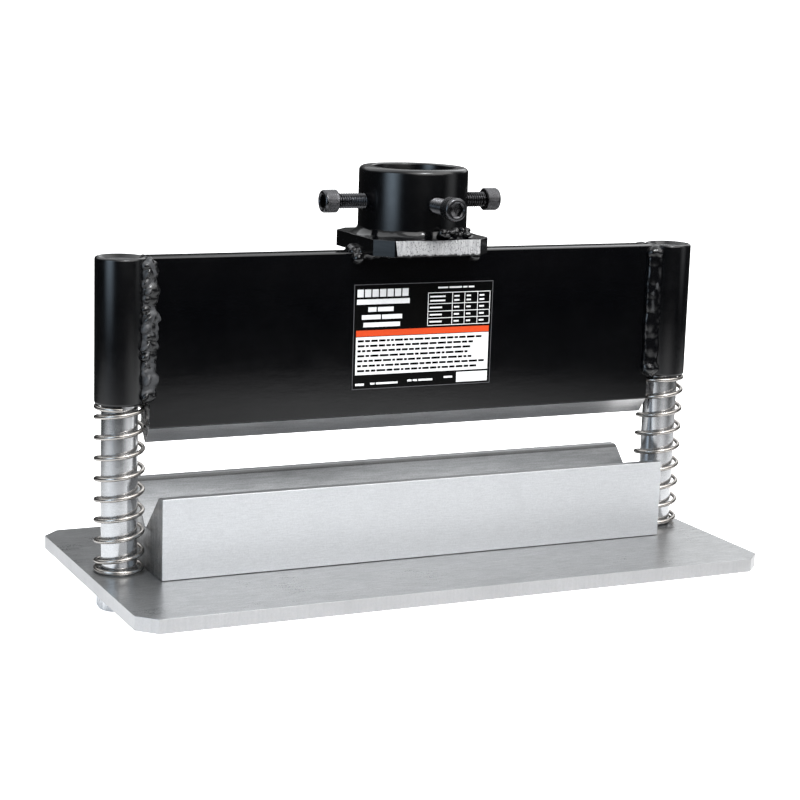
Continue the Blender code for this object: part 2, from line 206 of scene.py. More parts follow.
def turned(profile, count=96, closed=False):
    """(radius, height) points turned round Z. A closed profile makes a ring, others have flat ends."""
    return ring_stack(round_rings(profile, count), closed)


def moved(shape, matrix):
    """The shape after a matrix."""
    bmesh.ops.transform(shape, matrix=matrix, verts=shape.verts)
    return shape


def shifted(shape, x=0.0, y=0.0, z=0.0):
    """The shape moved along the axes."""
    return moved(shape, Matrix.Translation((x, y, z)))


def together(shapes):
    """Several shapes in one."""
    whole = bmesh.new()
    for shape in shapes:
        mesh = bpy.data.meshes.new("part")
        shape.to_mesh(mesh)
        shape.free()
        whole.from_mesh(mesh)
        bpy.data.meshes.remove(mesh)
    return whole


def middle_x(name):
    """The middle of a CAD node's box along X."""
    low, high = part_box(name)
    return (low.x + high.x) / 2


def placed(name, data):
    """An object of the scene, made of a mesh, a lamp or a camera."""
    made = bpy.data.objects.new(name, data)
    bpy.context.scene.collection.objects.link(made)
    return made


def as_object(name, shape, smooth_angle=30):
    """An object made of a shape, smooth where its faces meet at less than an angle in degrees."""
    mesh = bpy.data.meshes.new(name)
    shape.to_mesh(mesh)
    shape.free()
    mesh.shade_smooth()
    mesh.set_sharp_from_angle(angle=math.radians(smooth_angle))
    return placed(name, mesh)


def as_piece(made, body, nodes, materials):
    """Put an object on its body in place of its CAD nodes, with its materials."""
    for material in materials:
        made.data.materials.append(material)
    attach(made, body)
    if nodes:
        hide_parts(*nodes)
    return made


def bevelled(made, width, segments=2):
    """Round an object's edges a little."""
    modifier = made.modifiers.new("edges", "BEVEL")
    modifier.width = width
    modifier.segments = segments
    modifier.limit_method = "ANGLE"
    modifier.angle_limit = math.radians(30)
    modifier.harden_normals = True
    return made


def cut(made, cutter, operation="DIFFERENCE"):
    """Cut an object with a helper that isn't shown, and keep only the result."""
    modifier = made.modifiers.new("cut", "BOOLEAN")
    modifier.operation = operation
    modifier.object = cutter
    graph = bpy.context.evaluated_depsgraph_get()
    result = bpy.data.meshes.new_from_object(made.evaluated_get(graph))
    made.modifiers.clear()
    made.data = result
    bpy.data.objects.remove(cutter)
    return made


def sharpened(made, smooth_angle=30):
    """Smooth again after a cut."""
    made.data.shade_smooth()
    made.data.set_sharp_from_angle(angle=math.radians(smooth_angle))
    return made


def paint_faces(made, chooser):
    """Give each face the material slot that chooser(normal, centre) names."""
    for face in made.data.polygons:
        face.material_index = chooser(face.normal, face.center)


# ---------------------------------------------------------------- materials


def fill(tree, made, sockets):
    """Each of a node's sockets either set or linked."""
    for key, value in sockets.items():
        if isinstance(value, bpy.types.NodeSocket):
            tree.links.new(value, made.inputs[key])
        else:
            made.inputs[key].default_value = value
    return made


def node(tree, kind, sockets=None, **settings):
    """A new node with its settings and its sockets."""
    made = tree.nodes.new(kind)
    for key, value in settings.items():
        setattr(made, key, value)
    return fill(tree, made, sockets or {})


def grain(tree, scale, detail=3.0, roughness=0.6, distortion=0.0):
    """Noise in the piece's own metres. Its scale is cycles per metre, alike or along X, Y and Z."""
    place = node(tree, "ShaderNodeTexCoord").outputs["Object"]
    stretch = scale if isinstance(scale, tuple) else (scale, scale, scale)
    stretched = node(tree, "ShaderNodeMapping", {"Vector": place, "Scale": stretch}).outputs["Vector"]
    sockets = {"Vector": stretched, "Scale": 1.0, "Detail": detail, "Roughness": roughness}
    sockets["Distortion"] = distortion
    return node(tree, "ShaderNodeTexNoise", sockets).outputs["Fac"]


def spread(tree, value, low, high, to_low, to_high, **settings):
    """A value's range moved to another, without going past its ends."""
    sockets = {"Value": value, "From Min": low, "From Max": high, "To Min": to_low, "To Max": to_high}
    return node(tree, "ShaderNodeMapRange", sockets, **settings).outputs["Result"]


def sums(tree, first, second, operation="ADD"):
    """Two values added, or joined by another operation."""
    return node(tree, "ShaderNodeMath", {0: first, 1: second}, operation=operation).outputs[0]


def blend_colour(tree, share, first, second):
    """A colour between two."""
    mix = node(tree, "ShaderNodeMix", data_type="RGBA")
    tree.links.new(share, mix.inputs["Factor"])
    for key, value in (("A", first), ("B", second)):
        socket = next(s for s in mix.inputs if s.name == key and s.type == "RGBA")
        if isinstance(value, bpy.types.NodeSocket):
            tree.links.new(value, socket)
        else:
            socket.default_value = (*value, 1.0)
    return next(s for s in mix.outputs if s.type == "RGBA")


def bump(tree, height, distance, under=None):
    """A normal from a height, over another normal if there is one."""
    sockets = {"Height": height, "Distance": distance, "Strength": 1.0}
    if under is not None:
        sockets["Normal"] = under
    return node(tree, "ShaderNodeBump", sockets).outputs["Normal"]


def new_material(name):
    """A plain material and its node tree."""
    material = bpy.data.materials.new(name)
    material.use_nodes = True
    return material, material.node_tree


def finished(material, colour, roughness, normal, **others):
    """The material, with its shader's sockets filled."""
    tree = material.node_tree
    sockets = {"Base Color": colour, "Roughness": roughness, "Normal": normal, **others}
    fill(tree, tree.nodes["Principled BSDF"], sockets)
    return material


def steel(name, colour, roughness, streaks, depth, contrast=0.12, stain=0.1, metallic=1.0):
    """Bare steel with fine streaks, an even grain and soft stains. Streaks are cycles per metre."""
    material, tree = new_material(name)
    lines = sums(tree, grain(tree, streaks, 4.0, 0.65), grain(tree, 1100.0, 3.0, 0.7))
    lines = sums(tree, lines, 0.5, "MULTIPLY")
    cloud = grain(tree, 28.0, 4.0, 0.6, 0.4)
    dark = tuple(part * (1 - contrast) for part in colour)
    light = tuple(min(1.0, part * (1 + contrast)) for part in colour)
    streaked = blend_colour(tree, spread(tree, lines, 0.37, 0.63, 0.0, 1.0), dark, light)
    stained = tuple(part * (1 - 3 * stain) for part in colour)
    share = spread(tree, cloud, 0.5, 0.85, 0.0, 0.5)
    colour = blend_colour(tree, share, streaked, stained)
    rough = spread(tree, sums(tree, lines, cloud), 0.7, 1.3, roughness * 0.85, roughness * 1.2)
    return finished(material, colour, rough, bump(tree, lines, depth), Metallic=metallic)


def black_paint(name, roughness, peel, waves):
    """Gloss enamel: orange peel, slow waves of the plate under it, and a trace of dust."""
    material, tree = new_material(name)
    dust = grain(tree, 60.0, 6.0, 0.75)
    share = spread(tree, dust, 0.5, 0.8, 0.0, 1.0)
    colour = blend_colour(tree, share, (0.0006, 0.0007, 0.0011), (0.0016, 0.0018, 0.0024))
    cloud = grain(tree, 35.0, 5.0, 0.7)
    rough = spread(tree, cloud, 0.3, 0.7, roughness * 0.8, roughness * 1.3)
    slow = bump(tree, grain(tree, (40.0, 40.0, 170.0), 3.0, 0.55), waves)
    fine = bump(tree, grain(tree, 700.0, 2.0, 0.5), peel, slow)
    return finished(material, colour, rough, fine)


def painted_weld(name, covered, grey_sheen_level, gloss):
    """Enamel over a bead: glossy up to one noise level, rougher and grey past the other, the grey a
    painted reflection of the front lamps.
    """
    material, tree = new_material(name)
    patch = grain(tree, (110.0, 110.0, 70.0), 3.0, 0.5, 0.8)
    bare = spread(tree, patch, covered, grey_sheen_level, 0.0, 1.0)
    # The grey patches are a painted reflection of the front lamps; the rougher paint under them is
    # real.
    colour = blend_colour(tree, bare, (0.0018, 0.0019, 0.0024), (0.040, 0.041, 0.044))
    rough = spread(tree, bare, 0.0, 1.0, gloss, 0.50)
    pits = bump(tree, grain(tree, 1300.0, 3.0, 0.7), 0.00003)
    return finished(material, colour, rough, pits)


def cut_steel():
    """Bare edge left by a torch: pale, rough, with upright drag lines and dark specks."""
    material, tree = new_material("cut_steel")
    drag = grain(tree, (900.0, 900.0, 60.0), 3.0, 0.6)
    specks = grain(tree, 1100.0, 3.0, 0.7)
    lines = spread(tree, drag, 0.3, 0.7, 0.0, 1.0)
    pale = blend_colour(tree, lines, (0.34, 0.34, 0.35), (0.60, 0.60, 0.60))
    share = spread(tree, specks, 0.56, 0.62, 0.0, 0.8)
    place = node(tree, "ShaderNodeTexCoord").outputs["Object"]
    height = node(tree, "ShaderNodeSeparateXYZ", {"Vector": place}).outputs["Z"]
    edge = sums(tree, grain(tree, (420.0, 420.0, 90.0), 4.0, 0.7), 0.0048, "MULTIPLY")
    level = sums(tree, height, edge, "SUBTRACT")
    run = spread(tree, level, flange_low.z - 0.0017, flange_low.z - 0.0011, 1.0, 0.0)
    marked = sums(tree, share, run, "MAXIMUM")
    colour = blend_colour(tree, marked, pale, (0.02, 0.02, 0.02))
    rough = spread(tree, drag, 0.3, 0.7, 0.45, 0.7)
    ridges = bump(tree, sums(tree, drag, specks), 0.00012)
    return finished(material, colour, rough, ridges, Metallic=0.4)


def splashed_end():
    """The blade's bare end, with paint that ran over its edges."""
    material, tree = new_material("splashed_end")
    splash = grain(tree, (260.0, 260.0, 120.0), 3.0, 0.6, 0.5)
    share = spread(tree, splash, 0.53, 0.56, 0.0, 1.0)
    colour = blend_colour(tree, share, (0.78, 0.78, 0.79), (0.006, 0.006, 0.007))
    bare = sums(tree, 1.0, share, "SUBTRACT")
    rough = spread(tree, splash, 0.3, 0.7, 0.34, 0.18)
    return finished(material, colour, rough, bump(tree, share, 0.0001), Metallic=bare)


def black_oxide():
    """Oiled black screw finish, slightly uneven."""
    material, tree = new_material("black_oxide")
    cloud = grain(tree, 1500.0, 3.0, 0.6)
    share = spread(tree, cloud, 0.4, 0.7, 0.0, 1.0)
    colour = blend_colour(tree, share, (0.060, 0.060, 0.063), (0.085, 0.085, 0.09))
    rough = spread(tree, cloud, 0.3, 0.7, 0.22, 0.30)
    pores = bump(tree, grain(tree, 2500.0, 2.0), 0.00001)
    return finished(material, colour, rough, pores, Metallic=1.0)


def print_film(name, colour, roughness):
    """One ink of the label: a fine screen grain over the film's gloss."""
    material, tree = new_material(name)
    tone = grain(tree, 1800.0, 2.0)
    faded = tuple(part * 0.9 for part in colour)
    share = spread(tree, tone, 0.3, 0.7, 0.0, 1.0)
    printed = blend_colour(tree, share, faded, colour)
    rough = spread(tree, tone, 0.3, 0.7, roughness, roughness * 1.2)
    screen = bump(tree, grain(tree, 500.0, 2.0), 0.00001)
    return finished(material, printed, rough, screen, **{"Specular IOR Level": 0.12})


PAINT = black_paint("gloss_paint", 0.13, 0.000008, 0.00004)
PAINT_ON_ROUND = black_paint("gloss_paint_on_round", 0.21, 0.000010, 0.00003)
PAINT_ON_WELD = painted_weld("gloss_paint_on_weld", 0.64, 0.72, 0.12)
PAINT_ON_PUDDLES = painted_weld("gloss_paint_on_puddles", 0.46, 0.54, 0.22)
PLATE_STEEL = steel("plate_steel", (0.385, 0.39, 0.395), 0.30,
                    (120.0, 900.0, 900.0), 0.00002, 0.32, 0.07, 0.9)
PLATE_EDGE = steel("plate_edge", (0.41, 0.41, 0.415), 0.36, (500.0, 500.0, 60.0), 0.00002, 0.08, 0.05)
DIE_FACE = steel("die_face", (0.64, 0.65, 0.665), 0.44,
                 (120.0, 1200.0, 1200.0), 0.00002, 0.10, 0.03, 0.75)
# The groove's steel is painted much darker than the faces, as shade in the recess.
DIE_GROOVE_PAINTED_SHADE = steel("die_groove_painted_shade", (0.26, 0.265, 0.27), 0.38, (60.0, 900.0, 900.0), 0.000015, 0.2, 0.2)
DIE_END = steel("die_end", (0.42, 0.42, 0.42), 0.38, (700.0, 300.0, 50.0), 0.00004, 0.4, 0.2)
# Dark steel for the rounded shoulders: painted shade where the lamps would otherwise catch them.
DIE_SHOULDER_PAINTED_SHADE = steel("die_shoulder_painted_shade", (0.10, 0.10, 0.10), 0.42,
                     (60.0, 900.0, 900.0), 0.00002, 0.25, 0.15)
BEVEL_STEEL = steel("bevel_steel", (0.60, 0.60, 0.61), 0.34, (50.0, 900.0, 900.0), 0.00002, 0.12, 0.06)
POST_STEEL = steel("post_steel", (0.50, 0.505, 0.515), 0.17,
                   (260.0, 260.0, 1800.0), 0.00001, 0.14, 0.06, 0.90)
SPRING_STEEL = steel("spring_steel", (0.36, 0.34, 0.32), 0.24, 300.0, 0.00001, 0.18, 0.1)
ZINC = steel("zinc", (0.72, 0.73, 0.75), 0.28, 400.0, 0.00001, 0.1, 0.05)
CUT_STEEL = cut_steel()
SPLASHED_END = splashed_end()
BLACK_OXIDE = black_oxide()
FILM_BLACK = print_film("film_black", (0.0015, 0.0015, 0.0015), 0.22)
FILM_WHITE = print_film("film_white", (0.92, 0.92, 0.92), 0.35)
FILM_ORANGE = print_film("film_orange", (0.70, 0.075, 0.020), 0.35)
FILM_GREY = print_film("film_grey", (0.085, 0.085, 0.09), 0.35)


# ---------------------------------------------------------------- base


def make_base_plate():
    """Plate with broken edges, stud holes with spot faces under them, and countersinks."""
    outline = [(x, y, base_low.z) for x, y in octagon(base_low, base_high, BASE_CORNER)]
    plate = as_object("base_plate_ground", extruded(outline, (0.0, 0.0, base_high.z - base_low.z)))
    holes = []
    for side, _ in SIDES:
        spot = [(SPOT_FACE_RADIUS, base_low.z - PAST), (SPOT_FACE_RADIUS, base_low.z + SPOT_FACE_DEPTH)]
        bore = [(STUD_RADIUS + GAP, base_low.z + SPOT_FACE_DEPTH), (STUD_RADIUS + GAP, BASE_TOP + PAST)]
        holes.append(shifted(turned(spot + bore, 48), middle_x(f"guide_post_{side}")))
    head, shank = DIE_SCREW_HEAD + GAP, DIE_SCREW_SHANK + GAP
    for number in range(1, 5):
        low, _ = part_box(f"die_screw_{number}")
        cone = [(head, base_low.z - PAST), (head, low.z), (shank, low.z + head - DIE_SCREW_SHANK)]
        hole = turned(cone + [(shank, BASE_TOP + PAST)], 48)
        holes.append(shifted(hole, middle_x(f"die_screw_{number}")))
    cut(plate, as_object("base_holes", together(holes)))
    as_piece(plate, BODY_BASE, ["base_plate"], [PLATE_STEEL, PLATE_EDGE])
    paint_faces(plate, lambda normal, centre: 0 if abs(normal.z) > 0.5 else 1)
    bevelled(sharpened(plate), 0.0005)


def make_die():
    """Die with a 90 degree groove, rounded shoulders and broken edges."""
    y, top, bottom = die_high.y, die_high.z, die_low.z
    tangent = SHOULDER_RADIUS * math.tan(math.pi / 8)
    centre = (GROOVE_HALF_WIDTH + tangent, top - SHOULDER_RADIUS)
    floor = (GROOVE_FLOOR_HALF_WIDTH, top - (GROOVE_HALF_WIDTH - GROOVE_FLOOR_HALF_WIDTH))
    right = [(y, bottom), (y, top)] + arc(centre, SHOULDER_RADIUS, 90, 135, 8) + [floor]
    outline = right + [(-py, pz) for py, pz in reversed(right)]
    shape = extruded([(die_low.x, py, pz) for py, pz in outline], (die_high.x - die_low.x, 0.0, 0.0))
    steels = [DIE_FACE, DIE_GROOVE_PAINTED_SHADE, DIE_END, DIE_SHOULDER_PAINTED_SHADE]
    die = as_piece(as_object("die_ground", shape), BODY_BASE, ["v_die"], steels)

    def finish_of(normal, place):
        """Ground sides, a groove painted darker as shade, sawn ends, and rounded shoulders painted dark
        as shade.
        """
        if abs(normal.x) > 0.5:
            return 2
        # Slot 3, the rounded shoulders, gets the dark steel as painted shade.
        if normal.z > 0 and 0.15 < abs(normal.y) < 0.69:
            return 3
        # Slot 1, the groove, is the steel painted darker as shade.
        return 0 if abs(normal.y) > 0.9 else 1

    paint_faces(die, finish_of)
    bevelled(die, 0.0004)


def make_die_screws():
    """Countersunk socket screws that hold the die from below."""
    for number in range(1, 5):
        name = f"die_screw_{number}"
        low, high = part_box(name)
        rings = [round_ring(0.0003, low.z + DIE_SCREW_SOCKET_DEPTH + 0.001, 48)]
        rings.append(hexagon_ring(DIE_SCREW_SOCKET, low.z + DIE_SCREW_SOCKET_DEPTH, 48))
        rings.append(hexagon_ring(DIE_SCREW_SOCKET, low.z, 48))
        outside = [(DIE_SCREW_HEAD - 0.0003, low.z), (DIE_SCREW_HEAD, low.z + 0.0003)]
        cone_top = low.z + DIE_SCREW_HEAD - DIE_SCREW_SHANK
        outside += [(DIE_SCREW_SHANK, cone_top), (DIE_SCREW_SHANK, high.z)]
        rings += round_rings(outside, 48)
        screw = as_object(f"{name}_socketed", shifted(ring_stack(rings), middle_x(name)))
        as_piece(screw, BODY_BASE, [name], [BLACK_OXIDE])


def threaded(low, high, radius, pitch, count=48, steps=12):
    """Rings of a threaded rod along Z that runs out to its core at both ends."""
    depth = THREAD_DEPTH * pitch
    rows = round((high - low) / pitch * steps)
    rings = []
    for row in range(rows + 1):
        height = low + (high - low) * row / rows
        ease = min(1.0, row / steps, (rows - row) / steps)
        ring = []
        for step in range(count):
            phase = ((height - low) / pitch - step / count) % 1.0
            crest = min(1.0, max(0.0, abs(phase - 0.5) * 2.6 - 0.25))
            reach = radius - depth * (1 - crest * ease)
            ring.append(polar(reach, math.tau * step / count, height))
        rings.append(ring)
    return rings


def make_posts():
    """Ground posts with a chamfered top and a threaded stud below."""
    for side, _ in SIDES:
        low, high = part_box(f"guide_post_{side}")
        radius = (high.x - low.x) / 2
        seat = BASE_TOP + GAP
        rings = threaded(low.z, seat, STUD_RADIUS, STUD_PITCH, 96)
        outside = [(radius - 0.0003, seat), (radius, seat + 0.0003)]
        outside += [(radius, high.z - POST_CHAMFER), (radius - POST_CHAMFER * 0.6, high.z - 0.0004)]
        outside += [(radius - POST_CHAMFER, high.z), (0.0008, high.z)]
        rings += round_rings(outside, 96)
        shape = shifted(ring_stack(rings), middle_x(f"guide_post_{side}"))
        post = as_object(f"guide_post_{side}_ground", shape)
        as_piece(post, BODY_BASE, [f"guide_post_{side}"], [POST_STEEL])


def nut_ring(low, high, height, count):
    """A nut's outline at a height: a hexagon cut by the cones of its two chamfers."""
    across = high.y - low.y
    slope = min(height - low.z, high.z - height) / math.tan(NUT_CHAMFER_ANGLE)
    limit = across / 2 - 0.0002 + max(0.0, slope)
    ring = []
    for x, y, z in hexagon_ring(across, height, count):
        share = min(1.0, limit / math.hypot(x, y))
        ring.append((x * share, y * share, z))
    return ring


def make_nuts():
    """Hexagon nuts with chamfered corners."""
    count = 96
    hole = STUD_RADIUS + GAP
    for side, _ in SIDES:
        low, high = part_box(f"post_nut_{side}")
        drop = ((high.x - low.x) - (high.y - low.y)) / 2 * math.tan(NUT_CHAMFER_ANGLE)
        levels = [low.z + drop * step / 6 for step in range(7)]
        levels += [high.z - drop * step / 6 for step in range(6, -1, -1)]
        rings = [round_ring(hole, low.z, count)]
        rings += [nut_ring(low, high, level, count) for level in levels]
        rings.append(round_ring(hole, high.z, count))
        shape = shifted(ring_stack(rings, True), middle_x(f"post_nut_{side}"))
        nut = as_object(f"post_nut_{side}_chamfered", shape)
        as_piece(nut, BODY_BASE, [f"post_nut_{side}"], [ZINC])


def spring_rise(turns):
    """Height share gained after so many turns from an end, before the far end's flattening."""
    opened = turns - SPRING_FLAT_TURNS
    if opened <= 0.0:
        return 0.0
    if opened < 1.0:
        return opened**3 - opened**4 / 2
    return opened - 0.5


def spring_line(centre_x, low, high, start):
    """Points along a right-handed coil with flattened ends."""
    full = spring_rise(SPRING_TURNS) - 0.5 - SPRING_FLAT_TURNS
    count = round(SPRING_TURNS * SPRING_POINTS_PER_TURN)
    points = []
    for index in range(count + 1):
        turns = SPRING_TURNS * index / count
        share = spring_rise(turns) / full
        if turns > SPRING_TURNS / 2:
            share = 1.0 - spring_rise(SPRING_TURNS - turns) / full
        angle = start + math.tau * turns
        x = centre_x + SPRING_RADIUS * math.cos(angle)
        points.append((x, SPRING_RADIUS * math.sin(angle), low + (high - low) * share))
    return points


def wire_nodes():
    """Geometry nodes that turn a line of edges into round wire with closed ends."""
    group = bpy.data.node_groups.new("round_wire", "GeometryNodeTree")
    group.interface.new_socket("Geometry", in_out="INPUT", socket_type="NodeSocketGeometry")
    group.interface.new_socket("Geometry", in_out="OUTPUT", socket_type="NodeSocketGeometry")
    line = node(group, "NodeGroupInput").outputs[0]
    curve = node(group, "GeometryNodeMeshToCurve", {"Mesh": line}).outputs["Curve"]
    circle = node(group, "GeometryNodeCurvePrimitiveCircle", {"Resolution": 20, "Radius": WIRE_RADIUS})
    swept = {"Curve": curve, "Profile Curve": circle.outputs["Curve"], "Fill Caps": True}
    wire = node(group, "GeometryNodeCurveToMesh", swept).outputs["Mesh"]
    sleek = node(group, "GeometryNodeSetShadeSmooth", {"Geometry": wire}).outputs["Geometry"]
    dressed = node(group, "GeometryNodeSetMaterial", {"Geometry": sleek, "Material": SPRING_STEEL})
    node(group, "NodeGroupOutput", {0: dressed.outputs["Geometry"]})
    return group


def make_springs():
    """Round wire springs, swept round a line of edges by geometry nodes."""
    wire = wire_nodes()
    for side, _ in SIDES:
        low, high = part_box(f"return_spring_{side}")
        centre_x = middle_x(f"guide_post_{side}")
        foot, head = low.z + WIRE_RADIUS, high.z - WIRE_RADIUS
        points = spring_line(centre_x, foot, head, SPRING_STARTS[side])
        mesh = bpy.data.meshes.new(f"spring_{side}_wire")
        mesh.from_pydata(points, [(step, step + 1) for step in range(len(points) - 1)], [])
        spring = placed(f"spring_{side}_wire", mesh)
        as_piece(spring, BODY_BASE, [f"return_spring_{side}"], [SPRING_STEEL])
        spring.modifiers.new("wire", "NODES").node_group = wire
        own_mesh(spring)


# ---------------------------------------------------------------- beam


def make_blade():
    """Painted plate with a ground edge and bare ends."""
    y = blade_high.y
    bevel_top = blade_low.z + BEVEL_HEIGHT
    edge = (y - BLADE_ROUNDING, blade_high.z - BLADE_ROUNDING)
    slope = math.degrees(math.atan2(BEVEL_HEIGHT, y - BLADE_TIP_HALF_WIDTH))
    lean = 0.5 * (90 - slope)
    start = PAINT_EDGE_RADIUS * math.sin(math.radians(lean)) * 1.6
    turn = arc((y - PAINT_EDGE_RADIUS, bevel_top + start), PAINT_EDGE_RADIUS, -lean, 0, 4)
    right = [(BLADE_TIP_HALF_WIDTH, blade_low.z), (y - 0.0003, bevel_top - 0.0003)] + turn
    right += arc(edge, BLADE_ROUNDING, 0, 90, 4)
    outline = right + [(-py, pz) for py, pz in reversed(right)]
    length = blade_high.x - blade_low.x
    shape = extruded([(blade_low.x, py, pz) for py, pz in outline], (length, 0.0, 0.0))
    blade = as_object("blade_painted", shape)
    as_piece(blade, BODY_BEAM, ["press_blade"], [PAINT, BEVEL_STEEL, SPLASHED_END])

    def finish_of(normal, place):
        """Bare ends and ground bevel, painted elsewhere."""
        if abs(normal.x) > 0.5:
            return 2
        return 1 if normal.z < -0.55 else 0

    paint_faces(blade, finish_of)
    bevelled(blade, 0.0003)


def make_tubes():
    """Guide tubes with rounded rims and a flared mouth."""
    for side, _ in SIDES:
        low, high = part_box(f"guide_tube_{side}")
        radius = (high.x - low.x) / 2
        corner = radius - TUBE_ROUNDING
        foot = arc((corner, low.z + TUBE_ROUNDING), TUBE_ROUNDING, -90, 0, 6)
        rim = arc((corner, high.z - TUBE_ROUNDING), TUBE_ROUNDING, 0, 90, 6)
        lip = 0.0003
        mouth = [
            (TUBE_MOUTH_RADIUS + lip, high.z),
            (TUBE_MOUTH_RADIUS, high.z - lip),
            (TUBE_BORE, high.z - TUBE_MOUTH_DEPTH),
            (TUBE_BORE, low.z + lip),
            (TUBE_BORE + lip, low.z),
        ]
        tube = as_object(f"guide_tube_{side}_painted", turned(foot + rim + mouth, 96, True), 40)
        tube.data.transform(Matrix.Translation((middle_x(f"guide_tube_{side}"), 0.0, 0.0)))
        as_piece(tube, BODY_BEAM, [f"guide_tube_{side}"], [PAINT_ON_ROUND])


def fused_drops(name, drops, voxel, nodes, paint=PAINT_ON_WELD, rounds=5):
    """Drops of weld metal fused into one skin. A drop is (place, half sizes, turn about Z, tilt)."""
    shape = bmesh.new()
    for place, sizes, turn, tilt in drops:
        lay = Matrix.Translation(place) @ Matrix.Rotation(turn, 4, "Z") @ Matrix.Rotation(tilt, 4, "Y")
        scale = Matrix.Diagonal((*sizes, 1.0))
        bmesh.ops.create_icosphere(shape, subdivisions=3, radius=1.0, matrix=lay @ scale)
    bead = as_object(name, shape, 180)
    fuse = bead.modifiers.new("fuse", "REMESH")
    fuse.mode = "VOXEL"
    fuse.voxel_size = voxel
    fuse.use_smooth_shade = True
    soften = bead.modifiers.new("soften", "SMOOTH")
    soften.factor = 0.5
    soften.iterations = rounds
    return as_piece(bead, BODY_BEAM, nodes, [paint])


def arrow_drops(hand, axis_x, out, height, inward, outward, swell, sway):
    """Two leaning drops that meet like an arrow's head, a ripple of a bead run upward."""
    drops = []
    for arm in (-1, 1):
        along = axis_x + inward * (0.0148 + arm * 0.0026 * swell) + sway
        depth = out + outward * (0.0016 if arm < 0 else -0.0008)
        sizes = (0.0040 * swell, 0.0036 * swell, 0.0020 * hand.uniform(0.8, 1.6))
        tilt = arm * inward * math.radians(52 + hand.uniform(-22, 14))
        drops.append(((along, depth, height), sizes, inward * outward * math.radians(-14), tilt))
    return drops


def tube_bead_drops(hand, side, inward, outward):
    """Drops up the corner between a tube and the blade, with lumps at its ends."""
    tube_low, tube_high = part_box(f"guide_tube_{side}")
    axis_x = middle_x(f"guide_tube_{side}")
    smooth = side == "right"
    steady = 0.4 if smooth else 1.0
    drops = []
    height = tube_low.z + TUBE_BEAD_START
    while height < tube_high.z - TUBE_BEAD_STOP:
        swell = 1 + steady * hand.uniform(-0.3, 0.25)
        sway = hand.uniform(-0.0010, 0.0010) * steady
        out = outward * (0.0090 + hand.uniform(-0.0008, 0.0010) * steady)
        room = min(height - tube_low.z, tube_high.z - height)
        core = (0.0060, 0.0034, min(0.0120, room) if smooth else 0.0052)
        drops.append(((axis_x + inward * 0.0146 + sway, out, height), core, 0.0, 0.0))
        if smooth:
            sizes = (0.0046 * swell, 0.0034 * swell, min(0.0060 * hand.uniform(0.8, 1.6), room))
            along = axis_x + inward * (0.0142 + hand.uniform(-0.0014, 0.0014))
            drops.append(((along, out + outward * 0.0002, height), sizes, 0.0, 0.0))
        else:
            drops += arrow_drops(hand, axis_x, out, height, inward, outward, swell, sway)
        height += hand.uniform(0.0034, 0.0068)
    for end in (tube_low.z + 0.0052, tube_high.z - 0.0042):
        for lump in range(3):
            sizes = tuple(hand.uniform(0.0026, 0.0044) for _ in range(3))
            along = axis_x + inward * (0.0125 + 0.0022 * lump)
            place = (along, outward * 0.0098, end + hand.uniform(-0.0008, 0.0008))
            drops.append((place, sizes, hand.uniform(0, 3), 0.0))
    return drops


def make_tube_welds():
    """Upright beads beside the tubes: arrow-shaped ripples on the left, smoother on the right."""
    hand = random.Random(7)
    looks = {"left": (PAINT_ON_PUDDLES, 5), "right": (PAINT_ON_WELD, 16)}
    for side, sign in SIDES:
        for face, outward in (("front", -1), ("back", 1)):
            weld = f"tube_weld_{side}_{face}"
            drops = tube_bead_drops(hand, side, -sign, outward)
            fused_drops(f"{weld}_bead", drops, WELD_VOXEL, [weld], *looks[side])


def make_flange():
    """Cut-cornered plate with a seat for the ram, painted but for its torch-cut front."""
    low_z, high_z = flange_low.z, flange_high.z
    start_x = flange_low.x + FLANGE_CORNER + 0.0005 + CUT_SLANT
    outline = [(x, y, low_z) for x, y in octagon(flange_low, flange_high, FLANGE_CORNER)]
    shape = extruded(outline, (0, 0, high_z - low_z))
    front = [face for face in shape.faces if face.normal.y < -0.99]
    split = front + [edge for face in front for edge in face.edges]
    split += [vert for face in front for vert in face.verts]
    lean = Vector((high_z - low_z, 0.0, CUT_SLANT)).normalized()
    at = (start_x, 0.0, low_z)
    bmesh.ops.bisect_plane(shape, geom=split, dist=0.000001, plane_co=at, plane_no=lean)
    flange = as_object("flange_painted", shape)
    rings = [(SEAT_RADIUS, high_z - SEAT_DEPTH), (SEAT_RADIUS, high_z + SEAT_DEPTH)]
    cut(flange, as_object("seat_cutter", turned(rings, 96)))
    as_piece(flange, BODY_BEAM, ["collar_flange"], [PAINT, CUT_STEEL])
    paint_faces(flange, lambda normal, centre: 1 if normal.y < -0.99 and centre.x > start_x else 0)
    bevelled(sharpened(flange), 0.0010, 3)


def make_flange_welds():
    """Beads under the flange, with lumps where they wrap round its ends."""
    hand = random.Random(11)
    for face, outward in (("front", -1), ("back", 1)):
        drops = []
        x = flange_low.x + FLANGE_BEAD_INSET
        while x < flange_high.x - FLANGE_BEAD_INSET:
            swells = [hand.uniform(0.85, most) for most in (1.3, 1.15, 1.2)]
            sizes = (0.0034 * swells[0], 0.0036 * swells[1], 0.0036 * swells[2])
            height = flange_low.z - 0.0004 + hand.uniform(-0.0006, 0.0004)
            place = (x, outward * (blade_high.y + 0.0002), height)
            drops.append((place, sizes, 0.0, math.radians(hand.uniform(-20, 20))))
            x += hand.uniform(0.0022, 0.0040)
        for end, sign in ((flange_low.x, -1), (flange_high.x, 1)):
            for step in range(4):
                sizes = tuple(hand.uniform(0.0026, 0.0042) for _ in range(3))
                depth = outward * (0.001 + 0.0026 * step)
                place = (end + sign * 0.0012, depth, flange_low.z + 0.001 - 0.0016 * step)
                drops.append((place, sizes, hand.uniform(0, 3), hand.uniform(0, 3)))
        fused_drops(f"flange_weld_{face}_bead", drops, WELD_VOXEL, [f"flange_weld_{face}"])


def laid(quarter):
    """A turn that lays +Z along +X, then round Z by so many quarters."""
    return Matrix.Rotation(quarter * math.pi / 2, 4, "Z") @ Matrix.Rotation(math.pi / 2, 4, "Y")


